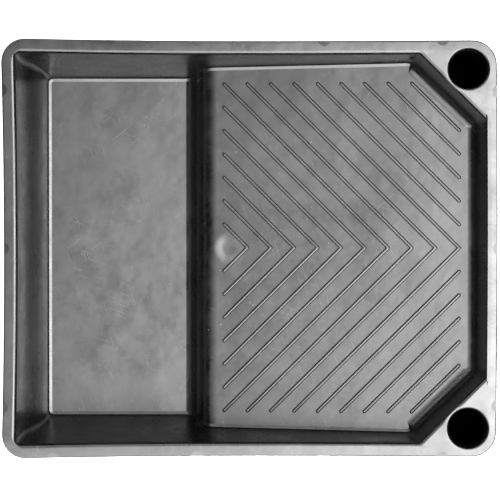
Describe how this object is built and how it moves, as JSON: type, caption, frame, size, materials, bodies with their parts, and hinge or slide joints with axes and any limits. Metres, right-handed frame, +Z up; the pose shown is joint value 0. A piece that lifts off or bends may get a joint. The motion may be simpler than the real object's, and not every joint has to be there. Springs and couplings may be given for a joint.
{
  "type": "paint roller tray",
  "caption": "Black moulded paint roller tray with a deep well, a sloping ramp of 45 degree rolling ribs, a flat rim and hollow legs under its two cut corners.",
  "frame": {"origin": "middle of the footprint's bounding box, on the floor", "axes": "+X from the well towards the shallow end, +Y to the left, +Z up"},
  "size_m": [0.3526, 0.2984, 0.08],
  "materials": {
    "black_plastic": "satin black injection-moulded plastic, lightly cloudy"
  },
  "bodies": {
    "root": {"rim_well_end": "black_plastic", "rim_ramp_end": "black_plastic", "rim_side_left": "black_plastic", "rim_side_right": "black_plastic", "corner_web_left": "black_plastic", "corner_web_right": "black_plastic", "well_floor": "black_plastic", "well_end_wall": "black_plastic", "well_side_wall_left": "black_plastic", "well_side_wall_right": "black_plastic", "step_riser": "black_plastic", "ramp_plate": "black_plastic", "ramp_side_wall_left": "black_plastic", "ramp_side_wall_right": "black_plastic", "ramp_end_wall": "black_plastic", "corner_wall_left": "black_plastic", "corner_wall_right": "black_plastic", "hollow_leg_left": "black_plastic", "hollow_leg_right": "black_plastic", "chevron_rib_01": "black_plastic", "chevron_rib_02": "black_plastic", "chevron_rib_03": "black_plastic", "chevron_rib_04": "black_plastic", "chevron_rib_05": "black_plastic", "chevron_rib_06": "black_plastic", "chevron_rib_07": "black_plastic", "chevron_rib_08": "black_plastic", "chevron_rib_09": "black_plastic", "chevron_rib_10": "black_plastic", "side_rib_left_1": "black_plastic", "side_rib_left_2": "black_plastic", "side_rib_left_3": "black_plastic", "side_rib_left_4": "black_plastic", "side_rib_left_5": "black_plastic", "side_rib_right_1": "black_plastic", "side_rib_right_2": "black_plastic", "side_rib_right_3": "black_plastic", "side_rib_right_4": "black_plastic", "side_rib_right_5": "black_plastic"}
  },
  "joints": []
}
